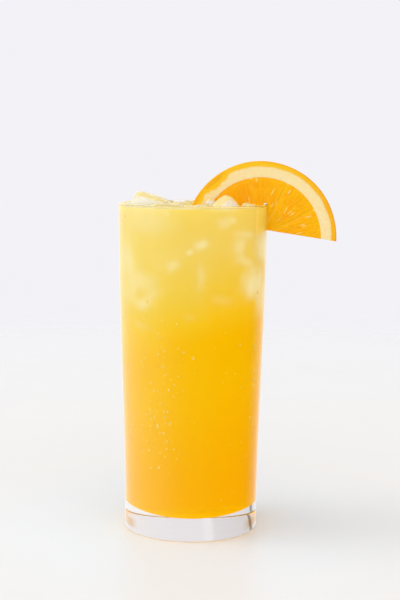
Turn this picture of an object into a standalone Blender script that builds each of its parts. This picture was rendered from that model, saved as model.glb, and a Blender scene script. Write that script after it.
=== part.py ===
"""A tall glass of iced orange drink with a half wheel of orange hung on its rim.

Metres, +Z up. The origin is the centre of the glass's foot on the table. The slice hangs on
the rim towards +X with its cut faces along Y, and the drink is cut round the slice and round
every ice piece that breaks its surface.
"""

import math

import bmesh
import bpy
from mathutils import Vector, noise

# Clearance between pieces that touch
GAP = 0.0003
CUT_GAP = 0.00035

# Glass
GLASS_HEIGHT = 0.150
RIM_RADIUS = 0.0340
FOOT_RADIUS = 0.0306
WALL = 0.0020
BASE_THICKNESS = 0.0064
HEEL_RADIUS = 0.0006
FLOOR_CURVE = 0.0600
FLOOR_CORNER = 0.0030
FLOOR_STEPS = 3
WALL_STEPS = 8
ARC_STEPS = 4
TURN_STEPS = 72

# Drink
DRINK_LEVEL = 0.1486
MENISCUS_RISE = 0.0005
MENISCUS_REACH = 0.0018

# Orange slice, in its own frame: cut edge level, wheel centre at the origin
WHEEL_RADIUS = 0.0346
WHEEL_CENTRE = (0.0310, 0.0, 0.1347)
CUT_TILT = math.radians(8.8)
CUT_HEIGHT = 0.0038
SLICE_THICKNESS = 0.0056
RIND = 0.0024
PITH = 0.0053
CORE_RADIUS = 0.0026
PULP_RISE = 0.00035
PULP_EDGE = 0.0014
RIND_EDGE = 0.0005
SEGMENTS = 10
SEGMENT_STEPS = 9
SEGMENT_START = math.radians(1.0)
PULP_RINGS = 7
WHEEL_WOBBLE = 0.006

# Slit that takes the glass wall
SLIT_INNER = 0.03145
SLIT_OUTER = 0.03435
SLIT_TOP = GLASS_HEIGHT + CUT_GAP

# Ice: name, centre, size, turns about X, Y and Z in degrees, cuts along an edge
ICE_SQUARENESS = 4.6
ICE_UNEVEN = 0.05
ICE_PIECES = (
    ("ice_1", (-0.0198, 0.0066, 0.1468), (0.0182, 0.0140, 0.0134), (4, 19, 6), 3),
    ("ice_2", (-0.0127, -0.0160, 0.1424), (0.0162, 0.0152, 0.0158), (-6, 5, 24), 3),
    ("ice_3", (0.0150, -0.0134, 0.1472), (0.0112, 0.0110, 0.0116), (6, -38, 10), 3),
    ("ice_4", (0.0246, -0.0082, 0.1458), (0.0062, 0.0062, 0.0095), (6, 10, 20), 2),
    ("ice_5", (0.0170, 0.0142, 0.1428), (0.0154, 0.0142, 0.0158), (5, -7, -38), 3),
    ("ice_6", (0.0004, 0.0195, 0.1422), (0.0146, 0.0138, 0.0160), (3, 4, -6), 3),
    ("ice_7", (-0.0134, 0.0205, 0.1440), (0.0092, 0.0090, 0.0125), (-7, 6, 38), 3),
    ("ice_8", (-0.0072, -0.0010, 0.1462), (0.0058, 0.0060, 0.0084), (8, -9, 35), 2),
    ("ice_9", (0.0076, -0.0060, 0.1488), (0.0040, 0.0032, 0.0066), (5, 8, 12), 2),
    ("ice_10", (0.0034, -0.0212, 0.1432), (0.0122, 0.0112, 0.0140), (5, -6, -16), 3),
)


def linear(red, green, blue):
    """An sRGB colour of 0 to 255 as linear values with full alpha."""
    shares = [channel / 255 for channel in (red, green, blue)]
    values = [s / 12.92 if s <= 0.04045 else ((s + 0.055) / 1.055) ** 2.4 for s in shares]
    return (*values, 1.0)


def make_material(name, colour, roughness, transmission=0.0, ior=1.45):
    material = bpy.data.materials.new(name)
    material.use_nodes = True
    shader = material.node_tree.nodes["Principled BSDF"]
    shader.inputs["Base Color"].default_value = colour
    shader.inputs["Roughness"].default_value = roughness
    shader.inputs["Metallic"].default_value = 0.0
    shader.inputs["Transmission Weight"].default_value = transmission
    shader.inputs["IOR"].default_value = ior
    return material


def glass_material():
    return make_material("clear_glass", linear(246, 248, 250), 0.02, 1.0, 1.5)


def drink_material():
    return make_material("orange_drink", linear(249, 186, 24), 0.12)


def ice_material():
    return make_material("clear_ice", linear(250, 244, 226), 0.08, 0.9, 1.31)


def slice_material():
    return make_material("orange_flesh", linear(250, 176, 12), 0.3)


def smoothstep(value):
    share = min(max(value, 0.0), 1.0)
    return share * share * (3 - 2 * share)


def outer_radius(height):
    """The glass stands nearly upright at its foot and its rim, and flares between them."""
    return FOOT_RADIUS + (RIM_RADIUS - FOOT_RADIUS) * smoothstep(height / GLASS_HEIGHT)


def arc(centre, radius, start, end, steps=ARC_STEPS):
    """Points of an arc in the profile plane, from one angle to another in degrees."""
    angles = [math.radians(start + (end - start) * i / steps) for i in range(steps + 1)]
    return [(centre[0] + radius * math.cos(a), centre[1] + radius * math.sin(a)) for a in angles]


def floor_corner():
    """Centre of the arc that joins the dished floor to the side: distance and height."""
    height = BASE_THICKNESS
    for _ in range(4):
        across = outer_radius(height) - WALL - FLOOR_CORNER
        drop = math.sqrt((FLOOR_CURVE - FLOOR_CORNER) ** 2 - across**2)
        height = BASE_THICKNESS + FLOOR_CURVE - drop
    return across, height


def bore_profile(gap, top):
    """The hollow from its dished floor's middle up its side, moved inwards by a gap."""
    across, height = floor_corner()
    middle = BASE_THICKNESS + FLOOR_CURVE
    turn = math.degrees(math.atan2(height - middle, across))
    floor = arc((0.0, middle), FLOOR_CURVE - gap, -90, turn, FLOOR_STEPS)
    corner = arc((across, height), FLOOR_CORNER - gap, turn, 0)
    heights = [height + (top - height) * i / WALL_STEPS for i in range(1, WALL_STEPS + 1)]
    side = [(outer_radius(z) - WALL - gap, z) for z in heights]
    return [(0.0, floor[0][1])] + floor[1:] + corner[1:] + side


def glass_profile():
    """From the hollow's floor on the axis, over the rim, to the foot on the axis."""
    lip = WALL / 2
    lip_centre = (RIM_RADIUS - lip, GLASS_HEIGHT - lip)
    inside = bore_profile(0.0, lip_centre[1])
    rim = arc(lip_centre, lip, 180, 0, 2 * ARC_STEPS)[1:]
    drop = (lip_centre[1] - HEEL_RADIUS) / WALL_STEPS
    outside = [(outer_radius(z), z) for z in (lip_centre[1] - drop * i for i in range(1, WALL_STEPS))]
    heel_side = outer_radius(HEEL_RADIUS)
    heel = arc((heel_side - HEEL_RADIUS, HEEL_RADIUS), HEEL_RADIUS, 0, -90)
    return inside + rim + outside + heel + [(0.0, 0.0)]


def drink_profile():
    """From the drink's surface on the axis, down its side, to its underside on the axis."""
    meniscus_top = DRINK_LEVEL + MENISCUS_RISE
    side = bore_profile(GAP, meniscus_top)
    edge = side[-1][0]
    surface = [(0.0, DRINK_LEVEL), (edge - MENISCUS_REACH, DRINK_LEVEL)]
    curl = (edge - MENISCUS_REACH / 3, DRINK_LEVEL + MENISCUS_RISE / 3)
    return surface + [curl] + side[::-1]


def add_object(name, mesh, material=None):
    obj = bpy.data.objects.new(name, mesh)
    bpy.context.scene.collection.objects.link(obj)
    if material:
        mesh.materials.append(material)
    return obj


def turned_piece(name, profile, material):
    """A profile in the XZ plane turned once about Z."""
    mesh = bpy.data.meshes.new(name)
    points = [(x, 0.0, z) for x, z in profile]
    edges = [(i, i + 1) for i in range(len(points) - 1)]
    mesh.from_pydata(points, edges, [])
    obj = add_object(name, mesh, material)
    screw = obj.modifiers.new("turn", "SCREW")
    screw.axis = "Z"
    screw.steps = TURN_STEPS
    screw.render_steps = TURN_STEPS
    screw.use_smooth_shade = True
    screw.use_merge_vertices = True
    screw.merge_threshold = 0.00001
    return obj


def mesh_from(builder, name):
    """The finished mesh of a bmesh builder, with its faces turned outwards."""
    bmesh.ops.recalc_face_normals(builder, faces=builder.faces)
    mesh = bpy.data.meshes.new(name)
    builder.to_mesh(mesh)
    builder.free()
    return mesh


def hide_cutter(obj):
    obj.hide_render = True
    obj.display_type = "WIRE"


def cut(obj, cutter):
    boolean = obj.modifiers.new(cutter.name, "BOOLEAN")
    boolean.operation = "DIFFERENCE"
    boolean.solver = "EXACT"
    boolean.object = cutter


def block_cutter(name, low, high):
    builder = bmesh.new()
    bmesh.ops.create_cube(builder, size=1.0)
    for vertex in builder.verts:
        corner = [high[i] if vertex.co[i] > 0 else low[i] for i in range(3)]
        vertex.co = Vector(corner)
    cutter = add_object(name, mesh_from(builder, name))
    hide_cutter(cutter)
    return cutter


def pulp_rise(radius, angle):
    """How far a segment's flesh stands above the pith, falling to nothing at its membranes."""
    pitch = 2 * math.pi / SEGMENTS
    turn = (angle - SEGMENT_START) % pitch
    to_membrane = radius * math.sin(min(turn, pitch - turn))
    to_pith = WHEEL_RADIUS - RIND - PITH - radius
    to_core = radius - CORE_RADIUS
    return PULP_RISE * smoothstep(min(to_membrane, to_pith, to_core) / PULP_EDGE)


def wheel_rings():
    """Each ring's radius and half thickness, from the core to the middle of the rind."""
    half = SLICE_THICKNESS / 2
    pulp_radius = WHEEL_RADIUS - RIND - PITH
    spread = pulp_radius - PULP_EDGE - CORE_RADIUS
    radii = [CORE_RADIUS + spread * i / (PULP_RINGS - 1) for i in range(PULP_RINGS)]
    rings = [(radius, half) for radius in radii + [pulp_radius, WHEEL_RADIUS - RIND]]
    return rings + [(WHEEL_RADIUS - RIND_EDGE, half), (WHEEL_RADIUS, half - RIND_EDGE)]


def wheel_ring(builder, radius, half, side):
    """One ring of vertices on the wheel's front or back face."""
    ring = []
    for step in range(SEGMENTS * SEGMENT_STEPS):
        angle = SEGMENT_START + 2 * math.pi * step / (SEGMENTS * SEGMENT_STEPS)
        way = Vector((math.cos(angle), 0.0, math.sin(angle)))
        reach = radius * (1 + WHEEL_WOBBLE * noise.noise(way * 1.3))
        height = half + pulp_rise(radius, angle)
        ring.append(builder.verts.new((reach * way.x, side * height, reach * way.z)))
    return ring


def bridge(builder, first, second):
    count = len(first)
    for i in range(count):
        after = (i + 1) % count
        builder.faces.new((first[i], first[after], second[after], second[i]))


def wheel_mesh():
    """A whole wheel of orange, its segments standing a little above pith and membranes."""
    builder = bmesh.new()
    outer = []
    for side in (-1, 1):
        rings = [wheel_ring(builder, radius, half, side) for radius, half in wheel_rings()]
        centre = builder.verts.new((0.0, side * SLICE_THICKNESS / 2, 0.0))
        for i, vertex in enumerate(rings[0]):
            builder.faces.new((centre, vertex, rings[0][(i + 1) % len(rings[0])]))
        for inner, rim in zip(rings, rings[1:]):
            bridge(builder, inner, rim)
        outer.append(rings[-1])
    bridge(builder, *outer)
    return mesh_from(builder, "orange_slice")


def place_on_rim(obj):
    obj.location = WHEEL_CENTRE
    obj.rotation_euler = (0.0, CUT_TILT, 0.0)


def orange_slice():
    mesh = wheel_mesh()
    mesh.shade_smooth()
    mesh.set_sharp_from_angle(angle=math.radians(35))
    obj = add_object("orange_slice", mesh, slice_material())
    place_on_rim(obj)
    reach = 2 * WHEEL_RADIUS
    lower_half = block_cutter("lower_half", (-reach, -reach, -reach), (reach, reach, CUT_HEIGHT))
    place_on_rim(lower_half)
    cut(obj, lower_half)
    low = (SLIT_INNER, -SLICE_THICKNESS, WHEEL_CENTRE[2] - CUT_HEIGHT)
    high = (SLIT_OUTER, SLICE_THICKNESS, SLIT_TOP)
    cut(obj, block_cutter("slit", low, high))
    return obj


def slice_pocket():
    """The space that the slice takes in the drink: a plain half wheel, a gap larger."""
    radius = WHEEL_RADIUS * (1 + WHEEL_WOBBLE) + CUT_GAP
    cut_line = CUT_HEIGHT - CUT_GAP
    half = SLICE_THICKNESS / 2 + PULP_RISE + CUT_GAP
    first = math.asin(cut_line / radius)
    count = SEGMENTS * SEGMENT_STEPS // 2
    angles = [first + (math.pi - 2 * first) * i / count for i in range(count + 1)]
    builder = bmesh.new()
    outline = [builder.verts.new((radius * math.cos(a), -half, radius * math.sin(a))) for a in angles]
    face = builder.faces.new(outline)
    grown = bmesh.ops.extrude_face_region(builder, geom=[face])["geom"]
    moved = [part for part in grown if isinstance(part, bmesh.types.BMVert)]
    bmesh.ops.translate(builder, vec=(0.0, 2 * half, 0.0), verts=moved)
    pocket = add_object("slice_pocket", mesh_from(builder, "slice_pocket"))
    place_on_rim(pocket)
    hide_cutter(pocket)
    return pocket


def ice_mesh(name, size, cuts, seed, grow=0.0):
    """A half-melted cube: a rounded block with soft uneven faces, grown evenly for a pocket."""
    builder = bmesh.new()
    bmesh.ops.create_cube(builder, size=2.0)
    bmesh.ops.subdivide_edges(builder, edges=builder.edges[:], cuts=cuts, use_grid_fill=True)
    larger = 1 + grow / (min(size) / 2)
    for vertex in builder.verts:
        way = vertex.co.normalized()
        spread = sum(abs(part) ** ICE_SQUARENESS for part in way) ** (-1 / ICE_SQUARENESS)
        uneven = 1 + ICE_UNEVEN * noise.noise(way * 1.6 + Vector((7.3 * seed, 2.1, 4.7)))
        reach = spread * uneven * larger
        vertex.co = Vector([way[i] * reach * size[i] / 2 for i in range(3)])
    return mesh_from(builder, name)


def place_ice(obj, centre, turns):
    obj.location = centre
    obj.rotation_euler = [math.radians(turn) for turn in turns]


def ice_piece(seed, piece, material):
    name, centre, size, turns, cuts = piece
    mesh = ice_mesh(name, size, cuts, seed)
    mesh.shade_smooth()
    place_ice(add_object(name, mesh, material), centre, turns)


def ice_pocket(seed, piece):
    name, centre, size, turns, cuts = piece
    pocket = add_object(name + "_pocket", ice_mesh(name + "_pocket", size, cuts, seed, CUT_GAP))
    place_ice(pocket, centre, turns)
    hide_cutter(pocket)
    return pocket


def clear_scene():
    for obj in list(bpy.data.objects):
        bpy.data.objects.remove(obj, do_unlink=True)


def main():
    clear_scene()
    turned_piece("glass", glass_profile(), glass_material())
    drink = turned_piece("drink", drink_profile(), drink_material())
    orange_slice()
    cut(drink, slice_pocket())
    ice = ice_material()
    for seed, piece in enumerate(ICE_PIECES, start=1):
        ice_piece(seed, piece, ice)
        cut(drink, ice_pocket(seed, piece))


main()
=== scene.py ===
import math

import bmesh
import bpy
import numpy as np
from bpy.props import FloatProperty, FloatVectorProperty, IntProperty, PointerProperty
from mathutils import Matrix, Vector, noise
from mathutils.bvhtree import BVHTree


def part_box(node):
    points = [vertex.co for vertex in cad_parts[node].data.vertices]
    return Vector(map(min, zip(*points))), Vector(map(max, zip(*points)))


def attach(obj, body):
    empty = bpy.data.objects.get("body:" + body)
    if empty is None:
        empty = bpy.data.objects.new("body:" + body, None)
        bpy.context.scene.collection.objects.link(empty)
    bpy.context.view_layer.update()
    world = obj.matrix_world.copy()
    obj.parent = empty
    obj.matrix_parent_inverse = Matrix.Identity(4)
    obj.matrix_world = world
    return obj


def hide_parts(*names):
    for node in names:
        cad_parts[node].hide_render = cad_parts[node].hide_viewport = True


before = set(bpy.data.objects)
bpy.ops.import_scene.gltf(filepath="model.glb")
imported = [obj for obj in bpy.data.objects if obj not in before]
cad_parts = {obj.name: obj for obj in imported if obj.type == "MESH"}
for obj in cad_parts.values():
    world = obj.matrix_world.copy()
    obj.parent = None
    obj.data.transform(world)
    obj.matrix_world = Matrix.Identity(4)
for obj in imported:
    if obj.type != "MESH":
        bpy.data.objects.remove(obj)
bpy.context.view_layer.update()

# The looks of a tall glass of iced orange drink with a half wheel of orange on its rim.
# Metres, +Z up. The glass stands at the origin and the slice hangs on its rim towards +X.

bl_info = {
    "name": "Iced orange drink",
    "version": (1, 0, 0),
    "blender": (4, 5, 0),
    "location": "3D View > Sidebar > Iced drink",
    "description": "Makes a tall glass of iced orange drink with an orange slice on its rim",
    "category": "Add Mesh",
}

BODY = "root"
GLASS_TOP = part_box("glass")[1]
DRINK_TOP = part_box("drink")[1]

# Forms that the solids have too
HEEL_RADIUS = 0.0006
FLOOR_CURVE = 0.0600
FLOOR_CORNER = 0.0030
MENISCUS_RISE = 0.0005
MENISCUS_REACH = 0.0018
MENISCUS_LEFT = 0.00015
WHEEL_CENTRE = Vector((0.0310, 0.0, 0.1347))
CUT_TILT = math.radians(8.8)
CUT_HEIGHT = 0.0038
RIND = 0.0024
PITH = 0.0053
CORE_RADIUS = 0.0026
PULP_RISE = 0.00035
PULP_EDGE = 0.0014
RIND_EDGE = 0.0005
SEGMENTS = 10
SEGMENT_START = math.radians(1.0)
WHEEL_WOBBLE = 0.006
SLIT_LOW = (0.03205, -0.0056, 0.1309)
SLIT_HIGH = (0.03380, 0.0056, 0.15035)
ICE_SQUARENESS = 4.6
ICE_UNEVEN = 0.05

# Ice that breaks the surface, ice_1 to ice_10: centre and size in millimetres, and turns about
# X, Y and Z in degrees
TOP_ICE = (
    ((-19.8, 6.6, 146.8), (18.2, 14, 13.4), (4, 19, 6)),
    ((-12.7, -16, 142.4), (16.2, 15.2, 15.8), (-6, 5, 24)),
    ((15, -13.4, 147.2), (11.2, 11, 11.6), (6, -38, 10)),
    ((24.6, -8.2, 145.8), (6.2, 6.2, 9.5), (6, 10, 20)),
    ((17, 14.2, 142.8), (15.4, 14.2, 15.8), (5, -7, -38)),
    ((0.4, 19.5, 142.2), (14.6, 13.8, 16), (3, 4, -6)),
    ((-13.4, 20.5, 144), (9.2, 9, 12.5), (-7, 6, 38)),
    ((-7.2, -1, 146.2), (5.8, 6, 8.4), (8, -9, 35)),
    ((7.6, -6, 148.8), (4, 3.2, 6.6), (5, 8, 12)),
    ((3.4, -21.2, 143.2), (12.2, 11.2, 14), (5, -6, -16)),
)

# Sunk ice: its direction round the glass, its distance from the axis, height and size in
# millimetres, and its turns about X, Y and Z in degrees before it is faced that way. A direction
# of 0 is the front, and positive ones go towards the slice.
SUNK_ICE = (
    (-49, 21, 114, (20, 19, 15), (0, 8, 0)),
    (-66, 22.5, 126.2, (13, 15, 10), (0, -12, 0)),
    (-8, 23.6, 130.2, (25, 11, 11), (45, -31, 0)),
    (6, 22.4, 118, (12, 12, 17), (0, 0, 45)),
    (50, 22.2, 131.6, (17.2, 17, 16.5), (0, 10, 0)),
    (65, 25, 116, (12.5, 12, 12), (0, -6, 0)),
    (20, 20, 108.5, (13, 15, 8), (0, 16, 0)),
    (98, 21.5, 129, (18, 17, 18), (8, 14, 0)),
    (112, 22, 108, (17, 16, 17), (0, -22, 12)),
    (140, 21, 121.5, (19, 19, 17), (12, 6, 30)),
    (172, 21.5, 126, (17, 18, 20), (0, 25, 0)),
    (178, 20, 105, (18, 17, 16), (6, -9, 40)),
    (206, 22, 119, (19, 17, 18), (0, 18, 8)),
    (236, 21.2, 128.5, (18, 19, 16), (14, -20, 0)),
    (244, 21.8, 107, (19, 18, 18), (0, 12, 22)),
    (0, 1, 120, (21, 20, 22), (10, 20, 30)),
    (0, 2, 99, (19, 20, 18), (30, -12, 10)),
)

# Pale patches where ice lies against the wall: direction round the glass, height in
# millimetres, half width in degrees, half height in millimetres, lean in degrees and strength
ICE_PATCHES = (
    (-37, 143.6, 22, 6.6, 0, 0.40), (-35, 148.5, 25, 1.3, 2, 0.20), (-19, 146.6, 2, 1.3, 0, 0.40),
    (-62, 125.9, 8, 6.7, 0, 0.50), (-44, 116.1, 15, 4.5, -20, 0.40), (-42, 106.8, 8, 2.7, 20, 0.60),
    (-57, 111.8, 9, 6.3, 0, 0.25), (-15, 124, 6, 2.2, 30, 0.60), (-2, 130.1, 3, 1.2, 30, 0.70),
    (7, 133.4, 5, 1.7, 25, 0.85), (7, 119.8, 3, 5.3, 0, 0.40), (26, 142.8, 6, 2.4, 20, 0.45),
    (33, 143.6, 3, 1.3, 0, 0.45), (26, 148.9, 10, 1.3, 0, 0.40), (39, 132.1, 6, 3.5, -15, 0.50),
    (48, 125.2, 10, 2.2, -20, 0.50), (72, 131.1, 13, 6, 0, 0.90), (46, 137.7, 10, 1.3, -5, 0.40),
    (56, 115, 12, 5.6, 0, 0.95), (72, 108, 12, 8, 0, 0.55), (24, 109.1, 9, 2.2, -10, 0.14),
    (-1, 101.3, 4, 1.8, 0, 0.12), (-46, 96.7, 7, 1.8, -10, 0.20),
)

# How far the drink reaches into what it touches, so that no air shows between them
SINK = 0.00025
FIT = 0.00015

# Painted light: the drink is paler towards -X, its lit side, where the pale part also reaches
# lower, and deeper in colour towards +X, its shaded side
LIT_SIDE_LEAN = 0.25
LIT_SIDE_TINT = (1.0, 0.97, 0.97)
SHADED_SIDE_TINT = (1.0, 0.86, 0.85)

# How far from the sunk part of the slice the drink is deeper in colour
SLICE_SHOWS = 0.0075

# How deep in the drink ice still shows at the wall and how strongly, and how deep it stays
ICE_SHOWS = 0.0023
ICE_SHARE = 0.25
SUNK_DEPTH = 0.0009

# How near the ice the drink's own surface counts as the bed that the ice lies in, which is painted
# pale as light that comes through the ice
BED_REACH = 0.00004

# Haze from ice: how uneven its edges are, and its patches, the hidden ones at the back too
SWAY_SCALE = 210.0
ICE_SWAY = 0.0009
PATCH_SWAY = 0.3
PATCH_RADIUS = 0.032
PATCH_SQUARENESS = 2.6
BACK_PATCHES = 42
PATCH_SEED = 23

# How high and how far the surface climbs where it wets ice and slice
WET_RISE = 0.0003
WET_REACH = 0.0007
LEVEL_SLACK = 0.00001

# Where the glass's base shows painted drink-coloured light at its sides, as heights from none to
# full
BASE_FOOT = (0.0012, 0.0032)
BASE_TOP = (0.0070, 0.0056)

# Tints along the slice: none, the flesh's near the glass, and the rind's at the far end
PLAIN = (1.0, 1.0, 1.0)
DEEP_END = (1.0, 0.84, 1.0)
RIPE_RIND = (0.98, 0.80, 0.6)

# Numbers of the ice pieces that break the surface
ICE_SEEDS = range(1, len(TOP_ICE) + 1)

# Fineness of the forms: steps round the axis and along the profiles, and cuts of the ice
GLASS_TURNS = 192
DRINK_TURNS = 256
FLOOR_TURNS = 96
FLOOR_RINGS = 40
GLASS_STEPS = 60
DRINK_STEPS = 220
LEVEL_STEPS = 66
FLOOR_STEPS = 30
LIP_STEPS = 16
ARC_STEPS = 8
SLICE_STEPS = 361
SPACE_STEPS = 91
FACE_RINGS = 92
BEVEL_RINGS = 4
CUT_RINGS = 12
ICE_CUTS = 15
BED_CUTS = 5
SUNK_CUTS = 7
WELD = 0.0000005

# Juice sacs: how many for each radian, their length, and how softly their relief begins
SACS_AROUND = 14.0
SAC_LENGTH = 0.0062
SAC_SOFTNESS = 0.0006
SAC_EASE = 0.0008

# First number of the sunk ice's forms, and what the scattered beads are drawn from
SUNK_SEED = 20
BEAD_SEED = 11

# Edges that are sharper than this stay sharp
DRINK_SHARP = math.radians(50)
SLICE_SHARP = math.radians(48)

# Sockets of a mix node that mixes colours: factor, both colours and the result
MIX_INPUTS = (0, 6, 7)
MIX_OUTPUT = 2

# Stage: how bright the light shows an upright surface at the front, and what the drink sends
# out through the glass, of which a part is sent back into it
FRONT_LIGHT = 1.05
INSIDE_LIGHT = 2.00
LEFT_GAIN = -0.03
SENT_OUT = 0.715
SENT_BACK = 0.281
EVEN_LIGHT = 0.38
SOFT_SOURCES = (
    ((0.0, 0.0, 1.0), 1.25, 9.0),
    ((0.0, -0.9, 0.44), 1.12, 2.0),
    ((-0.82, 0.0, 0.57), 3.0, 14.0),
)

# What gloss mirrors all round: an angle from the front in degrees, positive to the left, and a
# brightness there
MIRRORED = (
    (-180, 0.80), (-150, 0.70), (-133, 0.40), (-112, 0.04), (-90, 0.015), (-54, 0.02),
    (0, 0.08), (26, 0.21), (54, 0.57), (100, 0.97), (144, 0.97), (180, 0.80),
)
MIRRORED_GAIN = 1.3
OVERHEAD = 0.75

# What shows through clear glass: an angle from straight behind and a brightness there
SEEN = (
    (-180, 0.86), (-100, 0.84), (-62, 0.80), (-60, 0.22), (-55, 0.22), (-53, 0.78), (-15, 0.84),
    (-13, 0.98), (-9, 0.98), (-7, 0.93), (50, 0.91), (80, 0.84), (180, 0.86),
)
SEEN_HUE = (1.0, 0.985, 0.98)
SEEN_FLOOR = (1.02, 0.99, 0.98)

# Floor: a painted cool tint at the foot that offsets the drink's warm bounce light, and its height,
# just under the foot
BOUNCE_OFFSET = (0.94, 1.03, 1.11)
FLOOR_HEIGHT = -0.0001

# Camera
CAMERA_PLACE = (0.00354, -0.6075, 0.1786)
CAMERA_PITCH = math.radians(6.865)
CAMERA_ROLL = math.radians(0.5)
CAMERA_LENS = 79.74
SENSOR = 36.0


def metres(millimetres):
    return [value / 1000 for value in millimetres]


def linear(channel):
    """An sRGB channel of 0 to 255 as a linear value."""
    share = channel / 255
    return share / 12.92 if share <= 0.04045 else ((share + 0.055) / 1.055) ** 2.4


def seen(red, green, blue):
    """The surface colour that the front light shows as this colour of 0 to 255."""
    return tuple(linear(channel) / FRONT_LIGHT for channel in (red, green, blue))


def behind_glass(red, green, blue):
    """The same for drink that wets the inside of the glass."""
    shares = [linear(channel) for channel in (red, green, blue)]
    return tuple(min(share / (SENT_OUT + SENT_BACK * share), 1.0) for share in shares)


# Painted highlights on the slice's flesh: pale streaks on some juice sacs
PAINTED_HIGHLIGHT = seen(255, 222, 120)


def length(name, about, default):
    return FloatProperty(
        name=name, description=about, default=default, min=0.0, unit="LENGTH", precision=5
    )


def colour(name, about, default):
    return FloatVectorProperty(
        name=name, description=about, default=default, size=3, min=0.0, max=1.0, subtype="COLOR"
    )


class GlassSettings(bpy.types.PropertyGroup):
    """Sizes and colour of the glass."""

    height: length("Height", "From the table to the rim", round(GLASS_TOP.z, 6))
    rim_radius: length("Rim radius", "Outside radius at the rim", round(GLASS_TOP.x, 6))
    foot_radius: length("Foot radius", "Outside radius at the table", 0.0306)
    wall: length("Wall", "Thickness of the side", 0.0020)
    base: length("Base", "Clear glass under the drink's middle", 0.0064)
    tint: colour("Tint", "Colour that thick glass takes", (0.985, 0.992, 0.990))
    base_drink_light: colour("Base edge", "Colour gathered at its base's sides", (0.80, 0.47, 0.15))


class DrinkSettings(bpy.types.PropertyGroup):
    """Level and colours of the drink."""

    level: length("Level", "Height of the drink's surface", round(DRINK_TOP.z - MENISCUS_RISE, 6))
    top: colour("Top", "Pale drink among the ice", behind_glass(230, 206, 90))
    iced: colour("Iced", "Drink beside the lower ice", behind_glass(230, 200, 60))
    upper: colour("Upper", "Drink where the ice ends", behind_glass(235, 194, 25))
    middle: colour("Middle", "Drink at half height", behind_glass(236, 186, 0))
    bottom: colour("Bottom", "Deepest drink at the floor", behind_glass(237, 171, 2))
    haze: colour("Ice haze", "Drink that ice lies close behind", behind_glass(235, 219, 160))
    beside_slice: colour("Beside slice", "Drink over sunk orange", behind_glass(228, 178, 5))
    lit_ice_bed: colour("Ice bed", "Drink lit through ice that lies in it", (0.97, 0.93, 0.74))


class IceSettings(bpy.types.PropertyGroup):
    """Looks of the ice."""

    tint: colour("Tint", "Colour of the ice", (0.99, 0.985, 0.96))
    wetted: colour("Wetted", "Colour of the ice's upper faces", (1.0, 0.82, 0.36))
    frost: FloatProperty(
        name="Frost", description="Roughness of frosted patches", default=0.10, min=0.0, max=1.0
    )
    wear: length("Melt waves", "Depth of the waves in it", 0.00012)


class SliceSettings(bpy.types.PropertyGroup):
    """Sizes and colours of the orange slice."""

    wheel_radius: length("Radius", "Radius of the orange", 0.0346)
    thickness: length("Thickness", "Thickness of the slice", 0.0056)
    flesh: colour("Flesh", "Juice sacs", seen(255, 188, 0))
    deep_flesh: colour("Deep flesh", "Fuller juice sacs", seen(255, 173, 0))
    membrane: colour("Membrane", "Skins of sacs and segments", seen(255, 208, 50))
    pith: colour("Pith", "White under the rind", seen(251, 230, 175))
    rind: colour("Rind", "Cut rind", seen(253, 199, 18))
    skin: colour("Skin", "Outside of the orange", seen(247, 180, 10))


class BubbleSettings(bpy.types.PropertyGroup):
    """Bubbles and pulp at the glass."""

    count: IntProperty(name="Bubbles", description="Beads of gas on the wall", default=230, min=0)
    smallest: length("Smallest", "Radius of the smallest bead", 0.00020)
    largest: length("Largest", "Radius of the largest bead", 0.00068)
    bead: colour("Bead", "Colour of a bead over the drink", behind_glass(240, 208, 92))
    pulp: colour("Pulp", "Colour of shreds of fruit", behind_glass(236, 165, 10))


class StageSettings(bpy.types.PropertyGroup):
    """Floor, backdrop and light."""

    backdrop: colour("Backdrop", "Pale wall far behind", (0.896, 0.888, 0.930))
    floor: colour("Floor", "Pale matt floor", (0.806, 0.797, 0.796))


class DrinkPieceSettings(bpy.types.PropertyGroup):
    """All settings of the iced drink."""

    glass: PointerProperty(type=GlassSettings)
    drink: PointerProperty(type=DrinkSettings)
    ice: PointerProperty(type=IceSettings)
    orange: PointerProperty(type=SliceSettings)
    bubbles: PointerProperty(type=BubbleSettings)
    stage: PointerProperty(type=StageSettings)


def settings():
    return bpy.context.scene.iced_drink


def smoothstep(value):
    share = np.clip(value, 0.0, 1.0)
    return share * share * (3 - 2 * share)


def outer_radius(glass, height):
    """The glass stands nearly upright at its foot and its rim, and flares between them."""
    flare = float(smoothstep(height / glass.height))
    return glass.foot_radius + (glass.rim_radius - glass.foot_radius) * flare


def wall_point(glass, degrees, height, inset):
    """A point at the glass's side, a distance in from its outside. 0 degrees is the front."""
    radius = outer_radius(glass, height) - inset
    angle = math.radians(degrees)
    return Vector((radius * math.sin(angle), -radius * math.cos(angle), height))


def arc(centre, radius, start, end, steps):
    """Points of an arc in the profile plane, from one angle to another in degrees."""
    angles = [math.radians(start + (end - start) * i / steps) for i in range(steps + 1)]
    return [(centre[0] + radius * math.cos(a), centre[1] + radius * math.sin(a)) for a in angles]


def floor_corner(glass):
    """Centre of the arc that joins the dished floor to the side: distance and height."""
    height = glass.base
    for _ in range(4):
        across = outer_radius(glass, height) - glass.wall - FLOOR_CORNER
        height = glass.base + FLOOR_CURVE - math.sqrt((FLOOR_CURVE - FLOOR_CORNER) ** 2 - across**2)
    return across, height


def hollow_profile(glass, shift, top, steps):
    """The glass's hollow from its floor's middle to a height, moved into the glass by a shift."""
    across, height = floor_corner(glass)
    middle = glass.base + FLOOR_CURVE
    turn = math.degrees(math.atan2(height - middle, across))
    floor = arc((0.0, middle), FLOOR_CURVE + shift, -90, turn, FLOOR_STEPS)
    corner = arc((across, height), FLOOR_CORNER + shift, turn, 0, ARC_STEPS)
    heights = np.linspace(height, top, steps + 1)[1:]
    side = [(outer_radius(glass, z) - glass.wall + shift, float(z)) for z in heights]
    return [(0.0, floor[0][1])] + floor[1:] + corner[1:] + side


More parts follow.
